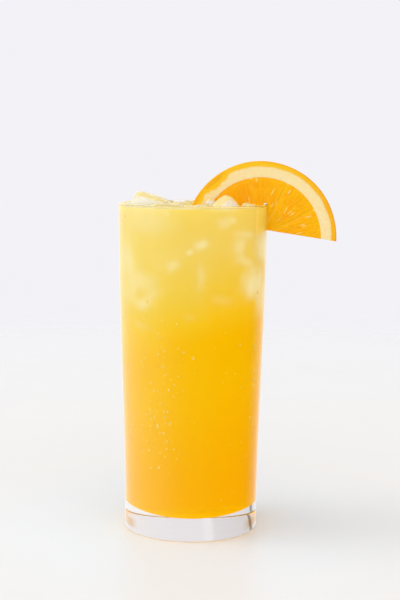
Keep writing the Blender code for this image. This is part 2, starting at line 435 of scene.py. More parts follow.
def glass_profile(glass):
    """From the hollow's floor on the axis, over the rim, to the foot on the axis."""
    lip = glass.wall / 2
    lip_centre = (glass.rim_radius - lip, glass.height - lip)
    inside = hollow_profile(glass, 0.0, lip_centre[1], GLASS_STEPS)
    rim = arc(lip_centre, lip, 180, 0, LIP_STEPS)[1:]
    heights = np.linspace(lip_centre[1], HEEL_RADIUS, GLASS_STEPS + 2)[1:-1]
    outside = [(outer_radius(glass, z), float(z)) for z in heights]
    heel_side = outer_radius(glass, HEEL_RADIUS)
    heel = arc((heel_side - HEEL_RADIUS, HEEL_RADIUS), HEEL_RADIUS, 0, -90, ARC_STEPS)
    return inside + rim + outside + heel + [(0.0, 0.0)]


def juice_profile(glass, level):
    """The drink's surface from the axis outwards, and its side and underside back to the axis."""
    side = hollow_profile(glass, SINK, level + MENISCUS_LEFT, DRINK_STEPS)[::-1]
    edge = side[0][0]
    flat = [(float(r), level) for r in np.linspace(0.0, edge - MENISCUS_REACH, LEVEL_STEPS)]
    shares = np.linspace(0.0, 1.0, ARC_STEPS + 1)[1:-1]
    curl = [(edge - MENISCUS_REACH * (1 - s), level + MENISCUS_LEFT * s * s) for s in shares]
    return flat + curl, side


def add_object(name, mesh, material=None):
    obj = bpy.data.objects.new(name, mesh)
    bpy.context.scene.collection.objects.link(obj)
    if material:
        mesh.materials.append(material)
    return obj


def mesh_of(builder, name):
    """The form that the builder holds, shaded smooth."""
    mesh = bpy.data.meshes.new(name)
    builder.to_mesh(mesh)
    builder.free()
    mesh.shade_smooth()
    return mesh


def closed_mesh(name, vertices, faces, values=None):
    """A mesh of these vertices and faces, welded and turned outwards, that keeps the values."""
    rough = bpy.data.meshes.new("rough_" + name)
    rough.from_pydata([tuple(v) for v in vertices], [], faces)
    for key, numbers in (values or {}).items():
        set_values(rough, key, numbers)
    builder = bmesh.new()
    builder.from_mesh(rough)
    bpy.data.meshes.remove(rough)
    bmesh.ops.remove_doubles(builder, verts=builder.verts, dist=2 * WELD)
    bmesh.ops.dissolve_degenerate(builder, edges=builder.edges, dist=WELD)
    bmesh.ops.recalc_face_normals(builder, faces=builder.faces)
    return mesh_of(builder, name)


def turned_lists(profile, steps):
    """Vertices and faces of a profile that starts on the axis, turned once about Z."""
    angles = np.linspace(0.0, 2 * math.pi, steps, endpoint=False)
    vertices = [(0.0, 0.0, profile[0][1])]
    for radius, height in profile[1:]:
        vertices += [(radius * math.cos(a), radius * math.sin(a), height) for a in angles]
    pairs = [(i, (i + 1) % steps) for i in range(steps)]
    faces = [(0, 1 + i, 1 + j) for i, j in pairs]
    for low in range(1, len(vertices) - steps, steps):
        high = low + steps
        faces += [(low + i, high + i, high + j, low + j) for i, j in pairs]
    return vertices, faces


def turned_mesh(name, profile, steps):
    """A profile from axis to axis, turned once about Z."""
    vertices, faces = turned_lists(profile[:-1], steps)
    last = len(vertices)
    low = last - steps
    vertices.append((0.0, 0.0, profile[-1][1]))
    faces += [(low + i, last, low + (i + 1) % steps) for i in range(steps)]
    return closed_mesh(name, vertices, faces)


def cut(obj, cutter):
    """Takes the cutter's space out of the object and removes the cutter."""
    boolean = obj.modifiers.new("cut", "BOOLEAN")
    boolean.operation = "DIFFERENCE"
    boolean.solver = "EXACT"
    boolean.object = cutter
    bpy.context.view_layer.update()
    graph = bpy.context.evaluated_depsgraph_get()
    mesh = bpy.data.meshes.new_from_object(obj.evaluated_get(graph), depsgraph=graph)
    obj.modifiers.clear()
    if len(mesh.polygons) < len(obj.data.polygons) / 2:
        raise RuntimeError(f"cutting {obj.name} left too little of it")
    obj.data = mesh
    bpy.data.objects.remove(cutter, do_unlink=True)


def vertex_places(mesh):
    places = np.zeros(len(mesh.vertices) * 3)
    mesh.vertices.foreach_get("co", places)
    return places.reshape(-1, 3)


def set_values(mesh, name, values):
    """Keeps a value for each vertex where the materials can read it."""
    attribute = mesh.attributes.get(name) or mesh.attributes.new(name, "FLOAT", "POINT")
    attribute.data.foreach_set("value", np.asarray(values, np.float32))


def distances(tree, places):
    return np.array([tree.find_nearest(Vector(place))[3] for place in places])


def tree_of(meshes):
    """One search tree over several meshes."""
    vertices, faces = [], []
    for mesh in meshes:
        start = len(vertices)
        vertices += [v.co.copy() for v in mesh.vertices]
        faces += [[start + i for i in p.vertices] for p in mesh.polygons]
    return BVHTree.FromPolygons(vertices, faces)


def fill(target, inputs):
    """Sets a node's inputs to values, or joins them to sockets."""
    for key, value in inputs.items():
        if isinstance(value, bpy.types.NodeSocket):
            target.id_data.links.new(value, target.inputs[key])
        else:
            target.inputs[key].default_value = value


def node(kind, inputs, options=None, tree=None):
    """A new shader node, in the tree of the sockets that it is joined to."""
    sockets = [value for value in inputs.values() if isinstance(value, bpy.types.NodeSocket)]
    made = (tree or sockets[0].id_data).nodes.new("ShaderNode" + kind)
    for option, value in (options or {}).items():
        setattr(made, option, value)
    fill(made, inputs)
    return made


def source(tree, kind, output, **options):
    """An output of a node that needs no other one."""
    return node(kind, {}, options, tree).outputs[output]


def made_material(name, looks, *about):
    """A material whose shader takes what a function of its node tree says."""
    material = bpy.data.materials.new(name)
    material.use_nodes = True
    tree = material.node_tree
    fill(tree.nodes["Principled BSDF"], looks(tree, *about))
    return material


def math_node(operation, first, second=0.0, third=1.0):
    made = node("Math", {0: first, 1: second, 2: third}, {"operation": operation})
    return made.outputs["Value"]


def times(first, second):
    return math_node("MULTIPLY", first, second)


def plus(first, second):
    return math_node("ADD", first, second)


def ramp(factor, stops):
    """A colour ramp over (place, colour) stops."""
    made = node("ValToRGB", {"Fac": factor})
    elements = made.color_ramp.elements
    while len(elements) < len(stops):
        elements.new(0.5)
    for element, (place, value) in zip(elements, stops):
        element.position = place
        element.color = (*value, 1.0)
    return made.outputs["Color"]


def mix(factor, first, second, blend="MIX"):
    """Two colours mixed, each a socket or three channels."""
    colours = [c if isinstance(c, bpy.types.NodeSocket) else (*c, 1.0) for c in (first, second)]
    inputs = dict(zip(MIX_INPUTS, (factor, *colours)))
    return node("Mix", inputs, {"data_type": "RGBA", "blend_type": blend}).outputs[MIX_OUTPUT]


def tinted(body, tint):
    return mix(1.0, body, tint, "MULTIPLY")


def span(value, low, high, to_low=0.0, to_high=1.0, kind="LINEAR"):
    """A value's share of a span, mapped to another one."""
    limits = {"From Min": low, "From Max": high, "To Min": to_low, "To Max": to_high}
    made = node("MapRange", {"Value": value, **limits}, {"interpolation_type": kind})
    return made.outputs["Result"]


def eased(*limits):
    """The same with a slow start and end."""
    return span(*limits, kind="SMOOTHSTEP")


def kept_value(tree, name):
    """A value that the mesh keeps for each vertex."""
    return source(tree, "Attribute", "Fac", attribute_name=name)


def noise_value(place, scale, detail, stretch=None):
    """A noise's value, from 0 to 1, with cells one over the scale wide."""
    if stretch:
        place = node("Mapping", {"Vector": place, "Scale": stretch}).outputs["Vector"]
    made = node("TexNoise", {"Vector": place, "Scale": scale, "Detail": detail})
    return made.outputs["Fac"]


def place_of(tree):
    return source(tree, "TexCoord", "Object")


def parts_of(vector):
    return node("SeparateXYZ", {"Vector": vector}).outputs


def bump(height, strength, distance):
    values = {"Height": height, "Strength": strength, "Distance": distance}
    return node("Bump", values).outputs["Normal"]


def glass_looks(tree, glass):
    """Clear pressed glass with faint waves, whose base's sides show painted drink-coloured light.
    """
    place = place_of(tree)
    waves = noise_value(place, 60.0, 1.0, (1.0, 1.0, 0.35))
    height = parts_of(place)["Z"]
    in_base = times(span(height, *BASE_FOOT), span(height, *BASE_TOP))
    aslant = source(tree, "LayerWeight", "Facing")
    # Painted light: drink-coloured light on the base's sides, strongest where they are seen aslant
    painted_drink_light = times(in_base, eased(aslant, 0.40, 0.62))
    return {
        "Base Color": mix(painted_drink_light, glass.tint, glass.base_drink_light),
        "Roughness": 0.0,
        "IOR": 1.5,
        "Transmission Weight": 1.0,
        "Normal": bump(waves, 0.10, 0.0004),
    }


def juice_colour(tree, drink, place):
    """Orange that pales upwards, hazed by ice behind it and deeper by the slice; painted light
    makes it paler towards -X and under the ice.
    """
    parts = parts_of(place)
    across, height = parts["X"], parts["Z"]
    drift = noise_value(place, 70.0, 2.0, (1.0, 1.0, 0.45))
    drifted = plus(height, span(drift, 0.3, 0.7, -0.003, 0.003))
    # Painted light: the pale upper drink reaches lower on the lit side towards -X
    drifted = math_node("MULTIPLY_ADD", across, -LIT_SIDE_LEAN, drifted)
    rising = (drink.bottom, drink.middle, drink.middle, drink.upper, drink.iced, drink.top)
    stops = list(zip((0.10, 0.45, 0.60, 0.66, 0.74, 0.88), rising))
    body = ramp(span(drifted, 0.0, drink.level), stops)
    cloud_noise = noise_value(place, 210.0, 3.0, (1.0, 1.0, 0.6))
    clouds = span(cloud_noise, 0.35, 0.65, 0.86, 1.0)
    # Painted light: paler on the lit side towards -X, deeper on the shaded side towards +X
    lit_to_shaded = span(across, -0.032, 0.032)
    body = tinted(body, mix(lit_to_shaded, LIT_SIDE_TINT, SHADED_SIDE_TINT))
    body = mix(kept_value(tree, "near_slice"), body, drink.beside_slice)
    haze = times(kept_value(tree, "near_ice"), clouds)
    body = mix(haze, body, drink.haze)
    # Painted light: the drink's bed under each piece of ice is paler, as if lit through the ice
    return mix(kept_value(tree, "lit_ice_bed"), body, drink.lit_ice_bed)


def juice_side_looks(tree, drink):
    """Cloudy drink where it wets the glass."""
    body = juice_colour(tree, drink, place_of(tree))
    return {"Base Color": body, "Roughness": 0.6, "Specular IOR Level": 0.0}


def juice_top_looks(tree, drink):
    """The drink's open surface: wet, with small ripples."""
    place = place_of(tree)
    return {
        "Base Color": juice_colour(tree, drink, place),
        "Roughness": 0.2,
        "Specular IOR Level": 0.2,
        "Normal": bump(noise_value(place, 190.0, 3.0), 0.25, 0.0004),
    }


def ice_looks(tree, ice):
    """Clear wet ice with frosted patches, whose upper faces take the drink's colour."""
    place = place_of(tree)
    facing = parts_of(source(tree, "NewGeometry", "Normal"))
    juicy = eased(facing["Z"], 0.15, 0.60)
    frost = noise_value(place, 330.0, 4.0)
    return {
        "Base Color": mix(juicy, ice.tint, ice.wetted),
        "Roughness": span(frost, 0.52, 0.72, 0.01, ice.frost),
        "IOR": 1.22,
        "Transmission Weight": 0.40,
        "Normal": bump(noise_value(place, 420.0, 3.0), 0.14, 0.0004),
    }


def bead_looks(tree, value, roughness, scale, darker):
    """Small beads or shreds whose colour varies a little from one to the next."""
    share = span(noise_value(place_of(tree), scale, 1.0), 0.35, 0.65)
    body = mix(share, [channel * darker for channel in value], value)
    return {"Base Color": body, "Roughness": roughness}


def flesh_colour(tree, orange, blotches, across):
    """Juice sacs that ripen along the slice, between thin skins, with painted highlights as pale
    streaks.
    """
    sac_share = times(kept_value(tree, "sac_share"), 0.5)
    fullness = plus(sac_share, times(blotches, 0.9))
    sacs = mix(span(fullness, 0.45, 1.0), orange.flesh, orange.deep_flesh)
    skins = span(kept_value(tree, "sac_edge"), 0.0, 0.16, 0.22, 0.0)
    flesh = mix(skins, sacs, orange.membrane)
    flesh = tinted(flesh, mix(span(across, 0.010, 0.036), DEEP_END, PLAIN))
    flesh = mix(times(kept_value(tree, "segment_skin"), 0.30), flesh, orange.membrane)
    # Painted highlights: pale streaks on some juice sacs
    return mix(times(kept_value(tree, "painted_highlight"), 0.8), flesh, PAINTED_HIGHLIGHT)


def rind_colour(tree, orange, blotches, grain, across):
    """Grained pith, and a mottled rind that is riper at the slice's far end."""
    dull = [a * 0.75 + b * 0.25 for a, b in zip(orange.pith, orange.rind)]
    pith = mix(span(grain, 0.35, 0.7), orange.pith, dull)
    width = kept_value(tree, "rind_width")
    mottle = times(span(blotches, 0.3, 0.7, -1.0, 1.0), width)
    widened = math_node("SUBTRACT", kept_value(tree, "rind_depth"), width)
    depth = plus(widened, mottle)
    stops = [(0.0, orange.skin), (0.2, orange.rind), (0.62, orange.rind)]
    rind = ramp(span(depth, 0.0, 2.6), stops)
    riper = mix(span(across, 0.036, 0.062), PLAIN, RIPE_RIND)
    return mix(eased(depth, 1.6, 2.7), tinted(rind, riper), pith)


def orange_looks(tree, orange):
    """Wet cut orange: juice sacs, membranes, pith, cut rind and pored skin."""
    place = place_of(tree)
    across = parts_of(place)["X"]
    blotches = noise_value(place, 130.0, 3.0)
    grain = noise_value(place, 900.0, 3.0)
    flesh = flesh_colour(tree, orange, blotches, across)
    outside = rind_colour(tree, orange, blotches, grain, across)
    flesh_depth = kept_value(tree, "flesh_depth")
    pores = node("TexVoronoi", {"Vector": place, "Scale": 850.0}).outputs["Distance"]
    on_skin = span(kept_value(tree, "rind_depth"), 0.0, 0.3, 1.0, 0.0)
    relief = times(span(pores, 0.1, 0.5), on_skin)
    relief = plus(relief, times(grain, 0.35))
    return {
        "Base Color": mix(eased(flesh_depth, -0.10, 0.28), outside, flesh),
        "Roughness": span(flesh_depth, -0.2, 0.4, 0.5, 0.16),
        "IOR": 1.38,
        "Specular IOR Level": 0.3,
        "Normal": bump(relief, 0.5, 0.0002),
    }


def floor_looks(tree, stage):
    """A pale matt floor that fades out far from the glass, painted cooler at the foot against the
    drink's warm bounce light.
    """
    place = place_of(tree)
    away = node("VectorMath", {0: place}, {"operation": "LENGTH"}).outputs["Value"]
    clear = source(tree, "BsdfTransparent", 0)
    solid = tree.nodes["Principled BSDF"].outputs[0]
    both = node("MixShader", {0: eased(away, 0.24, 0.85, 1.0, 0.0), 1: clear, 2: solid})
    fill(tree.nodes["Material Output"], {"Surface": both.outputs[0]})
    # Painted light: the floor is cooler near the foot, to offset the drink's warm bounce light
    bounce_offset_floor = [channel * gain for channel, gain in zip(stage.floor, BOUNCE_OFFSET)]
    return {
        "Base Color": mix(span(away, 0.045, 0.13), bounce_offset_floor, stage.floor),
        "Roughness": span(noise_value(place, 40.0, 3.0), 0.3, 0.7, 0.35, 0.42),
        "Specular IOR Level": 0.22,
    }


def ice_block(name, size, seed, cuts, grow, wear):
    """A half-melted cube with soft uneven faces and, where wanted, fine melt waves."""
    builder = bmesh.new()
    bmesh.ops.create_cube(builder, size=2.0)
    bmesh.ops.subdivide_edges(builder, edges=builder.edges[:], cuts=cuts, use_grid_fill=True)
    larger = 1 + grow / (min(size) / 2)
    for vertex in builder.verts:
        way = vertex.co.normalized()
        spread = sum(abs(part) ** ICE_SQUARENESS for part in way) ** (-1 / ICE_SQUARENESS)
        uneven = 1 + ICE_UNEVEN * noise.noise(way * 1.6 + Vector((7.3 * seed, 2.1, 4.7)))
        waves = wear * noise.noise(way * 5.0 + Vector((0.0, 3.1 * seed, 0.0)))
        reach = spread * uneven * larger
        vertex.co = Vector([way[i] * (reach * size[i] / 2 + waves) for i in range(3)])
    return mesh_of(builder, name)


def turned(turns):
    """The rotation that these turns about X, Y and Z make."""
    x, y, z = (math.radians(turn) for turn in turns)
    return Matrix.Rotation(z, 4, "Z") @ Matrix.Rotation(y, 4, "Y") @ Matrix.Rotation(x, 4, "X")


def top_ice_mesh(seed, cuts, grow, wear):
    centre, size, turns = TOP_ICE[seed - 1]
    mesh = ice_block("ice_form", metres(size), seed, cuts, grow, wear)
    mesh.transform(Matrix.Translation(metres(centre)) @ turned(turns))
    return mesh


def sunk_ice_meshes(glass):
    """Each sunk piece, faced at the wall of the glass and flattened where it nears it."""
    meshes = []
    for number, (degrees, away, height, size, turns) in enumerate(SUNK_ICE, start=1):
        mesh = ice_block("sunk_form", metres(size), SUNK_SEED + number, SUNK_CUTS, 0.0, 0.0)
        placed = Matrix.Translation(metres((0, -away, height))) @ turned(turns)
        mesh.transform(turned((0, 0, degrees)) @ placed)
        for vertex in mesh.vertices:
            away = math.hypot(vertex.co.x, vertex.co.y)
            limit = outer_radius(glass, vertex.co.z) - glass.wall - SUNK_DEPTH
            pull = min(limit / away, 1.0) if away > 0.0 else 1.0
            vertex.co = (vertex.co.x * pull, vertex.co.y * pull, vertex.co.z)
        meshes.append(mesh)
    return meshes


def joined(name, meshes):
    """One mesh of several."""
    builder = bmesh.new()
    for mesh in meshes:
        builder.from_mesh(mesh)
    return mesh_of(builder, name)


def rim_place():
    """Where the slice's own frame sits: wheel centre and tilt of the cut edge."""
    return Matrix.Translation(WHEEL_CENTRE) @ Matrix.Rotation(CUT_TILT, 4, "Y")


def wheel_reach(radius, angles):
    """The orange isn't quite round."""
    wobble = [noise.noise(Vector((math.cos(a), 0.0, math.sin(a))) * 1.3) for a in angles]
    return radius * (1 + WHEEL_WOBBLE * np.array(wobble))


def slice_space(orange):
    """The slice's plain form, a little smaller, for the drink to close round."""
    cut_line = CUT_HEIGHT + FIT
    first = math.asin(cut_line / orange.wheel_radius)
    angles = np.linspace(first, math.pi - first, SPACE_STEPS)
    reach = wheel_reach(orange.wheel_radius, angles) - FIT
    half = orange.thickness / 2 - FIT
    outline = [(r * math.cos(a), max(r * math.sin(a), cut_line)) for r, a in zip(reach, angles)]
    count = len(outline)
    vertices = [(x, -half, z) for x, z in outline] + [(x, half, z) for x, z in outline]
    sides = [(i, (i + 1) % count, (i + 1) % count + count, i + count) for i in range(count)]
    faces = [tuple(range(count)), tuple(range(2 * count - 1, count - 1, -1))] + sides
    mesh = closed_mesh("slice_space", vertices, faces)
    mesh.transform(rim_place())
    return mesh


def cells(across, along, seed):
    """How far each point is from the nearest and second nearest of scattered points, and a
    random share that the nearest one's cell has."""
    table = np.random.default_rng(seed).random((37, 41, 3))
    column, row = np.floor(across).astype(int), np.floor(along).astype(int)
    nearest = np.full(across.shape, 9.0)
    second = nearest.copy()
    share = np.zeros(across.shape)
    for i in (-1, 0, 1):
        for j in (-1, 0, 1):
            spot = table[(column + i) % 37, (row + j) % 41]
            gap = np.hypot(column + i + spot[..., 0] - across, row + j + spot[..., 1] - along)
            closer = gap < nearest
            second = np.where(closer, nearest, np.minimum(second, gap))
            share = np.where(closer, spot[..., 2], share)
            nearest = np.minimum(nearest, gap)
    return nearest, second, share


def soft_least(soft, *values):
    """The least of several values, rounded where two meet."""
    return -soft * np.log(sum(np.exp(-value / soft) for value in values))


def rind_width(angles):
    """How much deeper, in millimetres, the rind's colour reaches at these places."""
    return 0.3 + 1.5 * np.exp(-(((np.degrees(angles) - 146) / 20) ** 2))


def orange_fields(orange, radius, angle, side, reach):
    """A cut face's relief, and its zones in millimetres or shares, at these polar places."""
    pitch = 2 * math.pi / SEGMENTS
    turn = (angle - SEGMENT_START) % pitch
    to_membrane = radius * np.sin(np.minimum(turn, pitch - turn))
    to_pith = orange.wheel_radius - RIND - PITH - radius
    to_core = radius - CORE_RADIUS
    least = np.minimum(np.minimum(to_membrane, to_pith), to_core)
    soft = SAC_SOFTNESS
    inside = soft_least(soft, to_membrane - 0.0001, to_pith + soft, to_core)
    fleshy = soft_least(soft, to_membrane * 1.3 + 0.0004, to_pith + soft, to_core + soft)
    sway = 0.35 * np.sin(radius * 420 + 3 * side)
    rows = radius / SAC_LENGTH + 0.7 * np.sin(angle * 9)
    nearest, second, share = cells(angle * SACS_AROUND + sway, rows, 5 + side)
    edge = second - nearest
    begun = smoothstep(inside / SAC_EASE)
    sacs = smoothstep(edge / 0.4) * begun
    rise = PULP_RISE * smoothstep(least / PULP_EDGE) * (0.55 + 0.45 * sacs)
    # Painted highlight: a pale streak inside some juice sacs
    painted_highlight = smoothstep((0.30 - nearest) / 0.20) * (share > 0.80) * begun
    skin = smoothstep((soft - to_membrane) / soft) * smoothstep((to_pith + 2 * soft) / SAC_EASE)
    return rise, {
        "flesh_depth": fleshy * 1000,
        "sac_edge": edge,
        "sac_share": share,
        "painted_highlight": painted_highlight,
        "segment_skin": skin,
        "rind_depth": (reach - radius) * 1000,
        "rind_width": rind_width(angle),
    }


def orange_mesh(orange):
    """The half wheel as one skin: two cut faces, the rind round them and the straight cut."""
    half = orange.thickness / 2
    first = math.asin(CUT_HEIGHT / orange.wheel_radius)
    angles = np.linspace(first, math.pi - first, SLICE_STEPS)
    reach = wheel_reach(orange.wheel_radius, angles)
    floor = np.minimum(CUT_HEIGHT / np.sin(angles), reach)
    inner = np.maximum(reach - RIND_EDGE, floor)
    rings = [(share, 0.0) for share in np.linspace(0.0, 1.0, FACE_RINGS)]
    rings += [(1.0, turn) for turn in np.linspace(0.0, 90.0, BEVEL_RINGS + 1)[1:]]
    front = [(-1, *ring) for ring in rings]
    back = [(1, *ring) for ring in reversed(rings)]
    fields, columns = [], []
    for side, share, turn in front + back:
        fold = math.radians(turn)
        radius = floor + (inner - floor) * share
        if turn:
            radius = np.maximum(radius + RIND_EDGE * math.sin(fold), floor)
        radius = np.minimum(radius, reach)
        rise, found = orange_fields(orange, radius, angles, side, reach)
        height = half + rise - RIND_EDGE * (1 - math.cos(fold))
        places = (radius * np.cos(angles), side * height, radius * np.sin(angles))
        columns.append(np.stack(places, axis=1))
        fields.append(found)
    back_edge, front_edge = columns[-1], columns[0]
    for share in np.linspace(0.0, 1.0, CUT_RINGS + 2)[1:-1]:
        columns.append(back_edge * (1 - share) + front_edge * share)
        fields.append(orange_fields(orange, floor, angles, 1, reach)[1])
    count, along = len(columns), len(angles)
    faces = []
    for row in range(count):
        start, after = row * along, ((row + 1) % count) * along
        faces += [(start + i, start + i + 1, after + i + 1, after + i) for i in range(along - 1)]
    values = {key: np.concatenate([found[key] for found in fields]) for key in fields[0]}
    mesh = closed_mesh("orange_slice_skin", np.concatenate(columns), faces, values)
    mesh.transform(rim_place())
    return mesh


def block(name, low, high):
    """A plain block between two corners, to cut with."""
    builder = bmesh.new()
    bmesh.ops.create_cube(builder, size=1.0)
    for vertex in builder.verts:
        vertex.co = Vector([high[i] if vertex.co[i] > 0 else low[i] for i in range(3)])
    return mesh_of(builder, name)


def finish_piece(obj, node_name=None):
    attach(obj, BODY)
    if node_name:
        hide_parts(node_name)


def bead_mesh(name, beads):
    """Round beads: each a place, a radius, and how far it is stretched along Z."""
    builder = bmesh.new()
    for place, radius, stretch in beads:
        squeeze = Matrix.Diagonal((radius, radius, radius * stretch, 1.0))
        matrix = Matrix.Translation(place) @ squeeze
        bmesh.ops.create_icosphere(builder, subdivisions=2, radius=1.0, matrix=matrix)
    return mesh_of(builder, name)


class ICEDDRINK_OT_glass(bpy.types.Operator):
    """Makes the tall clear glass with its thick base"""

    bl_idname = "iced_drink.glass"
    bl_label = "Glass"

    def execute(self, context):
        glass = settings().glass
        mesh = turned_mesh("tall_glass", glass_profile(glass), GLASS_TURNS)
        material = made_material("clear_glass", glass_looks, glass)
        finish_piece(add_object("tall_glass", mesh, material), "glass")
        return {"FINISHED"}


def raise_edges(mesh, ice, orange, level):
    """The surface climbs a little where it wets ice and slice."""
    for vertex in mesh.vertices:
        if vertex.co.z > level - LEVEL_SLACK:
            gap = min(ice.find_nearest(vertex.co)[3], orange.find_nearest(vertex.co)[3])
            vertex.co.z += WET_RISE * math.exp(-gap / WET_REACH)


def all_patches():
    """The pale patches at the front, and others scattered over the back."""
    rng = np.random.default_rng(PATCH_SEED)
    patches = [(d, z / 1000, w, h / 1000, *rest) for d, z, w, h, *rest in ICE_PATCHES]
    for _ in range(BACK_PATCHES):
        wide, lean, strength = rng.uniform(4, 16), rng.uniform(-40, 40), rng.uniform(0.3, 0.8)
        degrees, height = rng.uniform(84, 276), rng.uniform(0.101, 0.147)
        patches.append((degrees, height, wide, wide * 0.0004, lean, strength))
    return patches


def clear_of_patches(places, sway):
    """How little each place is hazed by ice against the wall."""
    direction = np.degrees(np.arctan2(places[:, 0], -places[:, 1]))
    radius = np.hypot(places[:, 0], places[:, 1])
    clear = np.ones(len(places))
    power = PATCH_SQUARENESS
    for degrees, height, half_width, half_height, lean, strength in all_patches():
        aside = np.radians((direction - degrees + 180) % 360 - 180) * radius
        above = places[:, 2] - height
        cos, sin = math.cos(math.radians(lean)), math.sin(math.radians(lean))
        along = (aside * cos + above * sin) / (math.radians(half_width) * PATCH_RADIUS)
        across = (above * cos - aside * sin) / half_height
        reach = (np.abs(along) ** power + np.abs(across) ** power) ** (1 / power)
        reach = reach * (1 + PATCH_SWAY * sway)
        clear *= 1 - strength * np.exp(-(reach**power))
    return clear


def keep_nearness(mesh, ice, orange):
    """Keeps how much each place is hazed by ice and deepened by the slice."""
    places = vertex_places(mesh)
    sway = np.array([noise.noise(Vector(place) * SWAY_SCALE) for place in places])
    gap = distances(ice, places) + ICE_SWAY * (0.4 + sway)
    near = np.exp(-((np.maximum(gap, 0.0) / ICE_SHOWS) ** 1.4))
    clear = (1 - ICE_SHARE * near) * clear_of_patches(places, sway)
    set_values(mesh, "near_ice", 1 - clear)
    set_values(mesh, "near_slice", np.exp(-distances(orange, places) / SLICE_SHOWS))


class ICEDDRINK_OT_drink(bpy.types.Operator):
    """Makes the drink up to its level, closed round the ice and the slice"""

    bl_idname = "iced_drink.drink"
    bl_label = "Drink"

    def execute(self, context):
        glass, drink, orange = settings().glass, settings().drink, settings().orange
        surface, rest = juice_profile(glass, drink.level)
        mesh = turned_mesh("orange_drink", surface + rest, DRINK_TURNS)
        side = made_material("drink_behind_glass", juice_side_looks, drink)
        obj = add_object("orange_drink", mesh, side)
        mesh.materials.append(made_material("drink_surface", juice_top_looks, drink))
        for face in mesh.polygons:
            face.material_index = int(face.center.z > drink.level - LEVEL_SLACK)
        top_ice = [top_ice_mesh(seed, BED_CUTS, -FIT, 0.0) for seed in ICE_SEEDS]
        top_tree = tree_of(top_ice)
        near_ice = tree_of(top_ice + sunk_ice_meshes(glass))
        near_slice = tree_of([slice_space(orange)])
        raise_edges(mesh, top_tree, near_slice, drink.level)
        cut(obj, add_object("ice_space", joined("ice_space", top_ice)))
        cut(obj, add_object("slice_space", slice_space(orange)))
        keep_nearness(obj.data, near_ice, near_slice)
        # Marks the bed under the ice, whose pale colour is painted light that comes through the ice
        in_bed = distances(top_tree, vertex_places(obj.data)) < BED_REACH
        set_values(obj.data, "lit_ice_bed", in_bed)
        obj.data.shade_smooth()
        obj.data.set_sharp_from_angle(angle=DRINK_SHARP)
        finish_piece(obj, "drink")
        return {"FINISHED"}


def bubble_beads(glass, bubbles, rng):
    """Most beads cling at the left and in a column at the right, the rest all round."""
    count = bubbles.count
    spots = [(rng.normal(-33, 17), rng.uniform(0.036, 0.100)) for _ in range(count * 2 // 5)]
    spots += [(rng.normal(63, 2.5), rng.uniform(0.050, 0.100)) for _ in range(count // 8)]
    spots += [(rng.uniform(-180, 180), rng.uniform(0.018, 0.130)) for _ in range(count // 2)]
    beads = []
    for degrees, height in spots:
        radius = bubbles.smallest + (bubbles.largest - bubbles.smallest) * rng.random() ** 2
        place = wall_point(glass, degrees, height, glass.wall - SINK + radius * 0.35)
        beads.append((place, radius, rng.uniform(0.9, 1.4)))
    return beads


def pulp_beads(glass, rng):
    """Three larger shreds at the front left, small ones round them and at the back."""
    draw = rng.uniform
    spots = [(-65, 0.1446, 0.0009), (-61, 0.0443, 0.0008), (-46, 0.0401, 0.0006)]
    for _ in range(16):
        spots.append((rng.normal(-30, 16), draw(0.034, 0.085), draw(0.0003, 0.0006)))
    for _ in range(40):
        spots.append((draw(60, 300), draw(0.02, 0.14), draw(0.0003, 0.0007)))
    beads = []
    for degrees, height, radius in spots:
        place = wall_point(glass, degrees, height, glass.wall - SINK + radius * 0.6)
        beads.append((place, radius, rng.uniform(0.8, 1.7)))
    return beads


class ICEDDRINK_OT_bubbles(bpy.types.Operator):
    """Adds beads of gas and shreds of pulp at the wall"""

    bl_idname = "iced_drink.bubbles"
    bl_label = "Bubbles and pulp"

    def execute(self, context):
        glass, bubbles = settings().glass, settings().bubbles
        rng = np.random.default_rng(BEAD_SEED)
        mesh = bead_mesh("wall_bubbles", bubble_beads(glass, bubbles, rng))
        material = made_material("gas_bead", bead_looks, bubbles.bead, 0.4, 900.0, 0.93)
        finish_piece(add_object("wall_bubbles", mesh, material))
        mesh = bead_mesh("pulp_shreds", pulp_beads(glass, rng))
        material = made_material("fruit_pulp", bead_looks, bubbles.pulp, 0.5, 600.0, 0.9)
        finish_piece(add_object("pulp_shreds", mesh, material))
        return {"FINISHED"}


class ICEDDRINK_OT_ice(bpy.types.Operator):
    """Makes the ice that breaks the surface and the ice sunk in the drink"""

    bl_idname = "iced_drink.ice"
    bl_label = "Ice"

    def execute(self, context):
        glass, ice = settings().glass, settings().ice
        material = made_material("melting_ice", ice_looks, ice)
        for seed in ICE_SEEDS:
            mesh = top_ice_mesh(seed, ICE_CUTS, 0.0, ice.wear)
            obj = add_object(f"ice_{seed}_melting", mesh, material)
            finish_piece(obj, f"ice_{seed}")
        sunk = joined("sunk_ice", sunk_ice_meshes(glass))
        finish_piece(add_object("sunk_ice", sunk, material))
        return {"FINISHED"}


class ICEDDRINK_OT_orange_slice(bpy.types.Operator):
    """Makes the half wheel of orange that hangs on the rim"""

    bl_idname = "iced_drink.orange_slice"
    bl_label = "Orange slice"

    def execute(self, context):
        orange = settings().orange
        material = made_material("cut_orange", orange_looks, orange)
        obj = add_object("orange_half_wheel", orange_mesh(orange), material)
        cut(obj, add_object("slit_space", block("slit_space", SLIT_LOW, SLIT_HIGH)))
        obj.data.shade_smooth()
        obj.data.set_sharp_from_angle(angle=SLICE_SHARP)
        finish_piece(obj, "orange_slice")
        return {"FINISHED"}


def add_floor(stage):
    """A disc whose rings lie closer together near the glass."""
    profile = [(radius, FLOOR_HEIGHT) for radius in np.linspace(0.0, 1.0, FLOOR_RINGS) ** 1.5]
    vertices, faces = turned_lists(profile, FLOOR_TURNS)
    mesh = bpy.data.meshes.new("floor")
    mesh.from_pydata(vertices, [], faces)
    material = made_material("pale_floor", floor_looks, stage)
    floor = add_object("floor", mesh, material)
    floor.visible_glossy = False
    floor.visible_transmission = False


